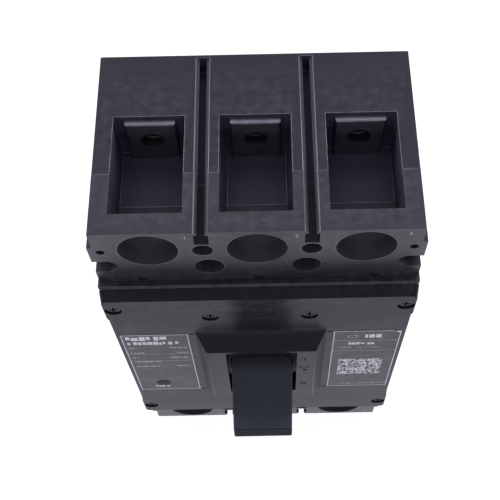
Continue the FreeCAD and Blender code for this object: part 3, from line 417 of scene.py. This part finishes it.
class Print:
    """Thin marks printed on a surface that faces the front, drawn in x and z."""

    def __init__(self, depth, thickness=0.04 * MM):
        self.mesh = bmesh.new()
        self.back = -depth
        self.front = -depth - thickness

    def shape(self, points):
        """A filled outline, its points anticlockwise as seen from the front."""
        rings = []
        for y in (self.back, self.front):
            rings.append([self.mesh.verts.new((x, y, z)) for x, z in points])
        self.mesh.faces.new(rings[1])
        self.mesh.faces.new(list(reversed(rings[0])))
        count = len(points)
        for index in range(count):
            following = (index + 1) % count
            self.mesh.faces.new((rings[0][index], rings[0][following],
                                 rings[1][following], rings[1][index]))

    def bar(self, x, z):
        """A rectangle between two values of x and of z."""
        self.shape([(x[0], z[0]), (x[1], z[0]), (x[1], z[1]), (x[0], z[1])])

    def words(self, x, z, seed, gap=0.4 * MM):
        """A row of short strokes that stands for a line of print."""
        chance = random.Random(seed)
        height = z[1] - z[0]
        at = x[0]
        while at < x[1] - height * 0.5:
            wide = min(height * chance.uniform(0.3, 0.75), x[1] - at)
            low = z[0] + height * chance.choice((0.0, 0.0, 0.25))
            high = z[1] - height * chance.choice((0.0, 0.0, 0.2))
            self.bar((at, at + wide), (low, high))
            at += wide + gap * chance.choice((0.7, 0.7, 0.7, 2.2))

    def outline(self, x, z, width):
        self.bar((x[0], x[0] + width), z)
        self.bar((x[1] - width, x[1]), z)
        self.bar((x[0] + width, x[1] - width), (z[0], z[0] + width))
        self.bar((x[0] + width, x[1] - width), (z[1] - width, z[1]))

    def ring(self, x, z, radius, width, wide=1.0, count=20):
        """A ring of straight-sided pieces about x, z; wide stretches it across."""
        for index in range(count):
            first = 2 * math.pi * index / count
            second = 2 * math.pi * (index + 1) / count
            corners = []
            for angle, reach in ((first, radius - width), (first, radius), (second, radius),
                                 (second, radius - width)):
                corners.append((x + wide * reach * math.cos(angle), z + reach * math.sin(angle)))
            self.shape(corners)

    def made(self, name, finish):
        mesh = bpy.data.meshes.new(name)
        bmesh.ops.recalc_face_normals(self.mesh, faces=self.mesh.faces)
        self.mesh.to_mesh(mesh)
        self.mesh.free()
        return piece(name, mesh, finish)


def lettering(name, text, height, x, z, depth, finish):
    """A number in the built-in font, flat on a surface that faces the front."""
    curve = bpy.data.curves.new(name, "FONT")
    curve.body = text
    curve.size = height * 1.4
    curve.extrude = 0.03 * MM
    curve.align_x = "CENTER"
    curve.align_y = "CENTER"
    drawn = bpy.data.objects.new(name + "_curve", curve)
    bpy.context.scene.collection.objects.link(drawn)
    evaluated = drawn.evaluated_get(bpy.context.evaluated_depsgraph_get())
    mesh = bpy.data.meshes.new_from_object(evaluated)
    bpy.data.objects.remove(drawn)
    upright = Matrix.Rotation(math.pi / 2, 4, "X")
    mesh.transform(Matrix.Translation(Vector((x, -depth, z))) @ upright)
    return piece(name, mesh, finish)


BORDER = 0.5 * MM
RULE = 0.35 * MM
RULE_INSET = 0.6 * MM
PALE_INK = ink("pale_ink", (0.66, 0.66, 0.68))
FINE_INK = ink("fine_ink", (0.40, 0.40, 0.42))
DARK_INK = ink("dark_ink", (0.003, 0.003, 0.003), sheen=0.0)


def rules(marks, left, right, heights):
    """Thin lines across a plate at some heights in millimetres."""
    for z in heights:
        marks.bar((left + RULE_INSET, right - RULE_INSET), (z * MM, z * MM + RULE))


def label_borders(left_plate, right_plate, depth):
    border = Print(depth)
    for low, high in (left_plate, right_plate):
        border.outline((low.x, high.x), (low.z, high.z), BORDER)
    corner = right_plate[1]
    border.shape([(corner.x - 4 * MM, corner.z), (corner.x - 0.4 * MM, corner.z - 3 * MM),
                  (corner.x - 0.4 * MM, corner.z)])
    border.made("label_borders", PALE_INK)


def left_label_print(low, high, depth):
    """Two bold rows at the top, rows of small print between rules, and the button's mark."""
    edge = -69.0 * MM
    bold = Print(depth)
    bold.words((edge, edge + 21 * MM), (34.2 * MM, 39.4 * MM), 3, gap=0.8 * MM)
    bold.words((edge, edge + 27 * MM), (28.6 * MM, 32.4 * MM), 4, gap=0.7 * MM)
    bold.made("label_left_title", PALE_INK)
    small = Print(depth)
    right = high.x - 1.8 * MM
    # each row's height on the plate and the widths of its left and right halves, in millimetres
    rows = [(24.0, 3, 9.5), (17.0, 8, 6.0), (10.0, 4, 10.5), (4.0, 15, 0.0), (-3.0, 13, 8.0)]
    for number, (z, wide_left, wide_right) in enumerate(rows):
        line = ((z - 0.8) * MM, (z + 0.8) * MM)
        small.words((edge, edge + wide_left * MM), line, 10 + number)
        if wide_right:
            small.words((right - wide_right * MM, right), line, 20 + number)
    rules(small, low.x, high.x, (15.0, 5.2))
    small.made("label_left_small_print", FINE_INK)
    beside_button = Print(depth)
    beside_button.words((-62.4 * MM, -53.2 * MM), (-37.2 * MM, -34.8 * MM), 5, gap=0.5 * MM)
    beside_button.made("label_left_button_mark", PALE_INK)


def right_label_print(low, high, depth):
    """Signs at the top, a rating row between rules, and a block of random dots."""
    bold = Print(depth)
    bold.words((53.2 * MM, 61.8 * MM), (32.6 * MM, 37.2 * MM), 31, gap=0.9 * MM)
    bold.words((45.2 * MM, 59.4 * MM), (23.4 * MM, 26.6 * MM), 32, gap=0.6 * MM)
    bold.made("label_right_title", PALE_INK)
    small = Print(depth)
    small.ring(46.8 * MM, 35 * MM, 1.9 * MM, 0.4 * MM, wide=1.45)
    rules(small, low.x, high.x, (29.0, 14.6))
    small.words((40.2 * MM, 48 * MM), (18.8 * MM, 20.2 * MM), 41)
    small.words((50.2 * MM, 63 * MM), (19.0 * MM, 20.0 * MM), 42)
    small.words((low.x + 2.5 * MM, high.x - 1.5 * MM), (-38.0 * MM, -36.8 * MM), 43)
    small.made("label_right_small_print", FINE_INK)
    dots = Print(depth)
    chance = random.Random(7)
    count, pitch, first_x, first_z = 26, 0.92 * MM, 41.4 * MM, -21.5 * MM
    wide = pitch * 0.96
    for column in range(count):
        for row in range(count):
            if chance.random() < 0.5:
                x = first_x + column * pitch
                z = first_z + row * pitch
                dots.bar((x, x + wide), (z, z + wide))
    dots.made("label_right_dot_block", PALE_INK)


def label_marks():
    """Generic print on the two rating plates: borders, rules and rows of strokes."""
    left_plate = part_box("rating_plate_left")
    right_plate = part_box("rating_plate_right")
    depth = -left_plate[0].y
    label_borders(left_plate, right_plate, depth)
    left_label_print(*left_plate, depth)
    right_label_print(*right_plate, depth)


def boss_marks():
    """The generic signs for on, tripped and off, beside the handle."""
    depth = -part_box("face_cover")[0].y
    x = 22.4 * MM
    signs = Print(depth)
    signs.bar((x - 0.35 * MM, x + 0.35 * MM), (20.9 * MM, 24.1 * MM))
    signs.bar((x - 2.6 * MM, x - 0.9 * MM), (10.9 * MM, 11.9 * MM))
    signs.bar((x + 0.4 * MM, x + 2.6 * MM), (10.9 * MM, 11.9 * MM))
    signs.shape([(x - 1.5 * MM, 8.2 * MM), (x, 6.2 * MM), (x + 1.5 * MM, 8.2 * MM)])
    signs.ring(x, -14.6 * MM, 1.7 * MM, 0.55 * MM)
    signs.made("handle_position_signs", DARK_INK)


def terminal_numbers():
    """1, 3, 5 at the line end and 2, 4, 6 at the load end, at the corner of each pole."""
    height = 2.6 * MM
    from_middle = 124.4 * MM
    across = 17.2 * MM
    for pole_number, pole in enumerate(POLES):
        shift = across if pole_number < 2 else across + 1 * MM
        odd = pole_number * 2 + 1
        for end, way, number in (("line", 1, odd), ("load", -1, odd + 1)):
            lettering("%s_number_%d" % (end, number), str(number), height,
                      pole + shift, way * from_middle, STEP_FRONT, FINE_INK)


def rubbed_rims():
    """Pale rings round the rims of the round holes in the step faces, as painted highlights."""
    rims = Print(STEP_FRONT, 0.02 * MM)
    width = 0.3 * MM
    # a kind of hole: its places in x, its distance from the middle, its radius, pieces in its ring
    access = (POLES, 113.3 * MM, 13.5 * MM, 56)
    mounting = ((-22 * MM, 22 * MM), 97 * MM, 6.8 * MM, 36)
    screw = ((-24 * MM, 24 * MM), 112.7 * MM, 4.7 * MM, 28)
    for end in (-1, 1):
        for places, from_middle, radius, count in (access, mounting, screw):
            for x in places:
                rims.ring(x, end * from_middle, radius + width, width, count=count)
    rims.made("rubbed_rims", FINISHES["painted_rim_highlight"])


# ---------------------------------------------------------------- studio

LIT_POINT = Vector((0, -0.06, 0.06))
CAMERA_PLACE = Vector((0.006456, -0.280556, 0.468529))


def floor():
    """A plain pale sheet just under the object, which gives off light so that it reads white."""
    half = 3.0
    gap = 0.0002
    mesh = bpy.data.meshes.new("floor")
    mesh.from_pydata([(-half, -half, 0), (half, -half, 0), (half, half, 0), (-half, half, 0)],
                     [], [(0, 1, 2, 3)])
    made = bpy.data.objects.new("floor", mesh)
    made.location.z = CAD_BOX[0].z - gap
    bpy.context.scene.collection.objects.link(made)
    shader = Shader("floor_paper")
    shader.constant(Base_Color=(0.25, 0.25, 0.25, 1), Roughness=0.95, Specular_IOR_Level=0.0,
                    Emission_Color=(0.95, 0.94, 1.02, 1), Emission_Strength=1.0)
    mesh.materials.append(shader.material)


def soft_light(name, place, size, radiance):
    """A rectangular light that is as bright as radiance says from wherever it is seen."""
    lamp = bpy.data.lights.new(name, "AREA")
    lamp.shape = "RECTANGLE"
    lamp.size, lamp.size_y = size
    lamp.energy = radiance * math.pi * size[0] * size[1]
    lamp.color = (0.88, 0.85, 1.0)
    made = bpy.data.objects.new(name, lamp)
    made.location = place
    towards = LIT_POINT - Vector(place)
    made.rotation_euler = towards.to_track_quat("-Z", "Y").to_euler()
    bpy.context.scene.collection.objects.link(made)


def studio():
    world = bpy.data.worlds.new("studio")
    bpy.context.scene.world = world
    world.use_nodes = True
    background = world.node_tree.nodes["Background"]
    background.inputs["Color"].default_value = (0.88, 0.86, 1.0, 1)
    background.inputs["Strength"].default_value = 0.34
    soft_light("top_softbox", (0.0, 0.62, 1.15), (1.5, 0.7), 1.5)
    soft_light("overhead_softbox", (0.0, -0.08, 1.3), (1.2, 0.35), 1.5)
    for side, name in ((-1, "left_strip"), (1, "right_strip")):
        soft_light(name, (side * 1.05, 0.52, 0.5), (0.2, 0.7), 22.0)
    soft_light("front_strip", (0.0, -1.15, 0.36), (1.6, 0.08), 7.0)
    bpy.context.scene.view_settings.view_transform = "Standard"


def camera():
    """The camera at the photograph's viewing angle."""
    turn = math.radians(0.62)
    tilt = math.radians(63.8)
    roll = math.radians(-1.7)
    right = Vector((math.cos(turn), math.sin(turn), 0))
    ahead = Vector((-math.sin(turn) * math.cos(tilt), math.cos(turn) * math.cos(tilt),
                    -math.sin(tilt)))
    up = right.cross(ahead)
    rolled = right * math.cos(roll) + up * math.sin(roll)
    upright = up * math.cos(roll) - right * math.sin(roll)
    lens = bpy.data.cameras.new("camera")
    lens.sensor_width = 36
    lens.lens = 65.83
    lens.shift_x = -0.036
    lens.shift_y = 0.0395
    made = bpy.data.objects.new("camera", lens)
    turned = Matrix((rolled, upright, -ahead)).transposed().to_4x4()
    made.matrix_world = Matrix.Translation(CAMERA_PLACE) @ turned
    bpy.context.scene.collection.objects.link(made)
    bpy.context.scene.camera = made


finish_nodes()
for moulding in ("rear_base", "front_housing", "face_cover"):
    soften_edges(moulding, 0.35 * MM)
label_marks()
boss_marks()
terminal_numbers()
rubbed_rims()
floor()
studio()
camera()
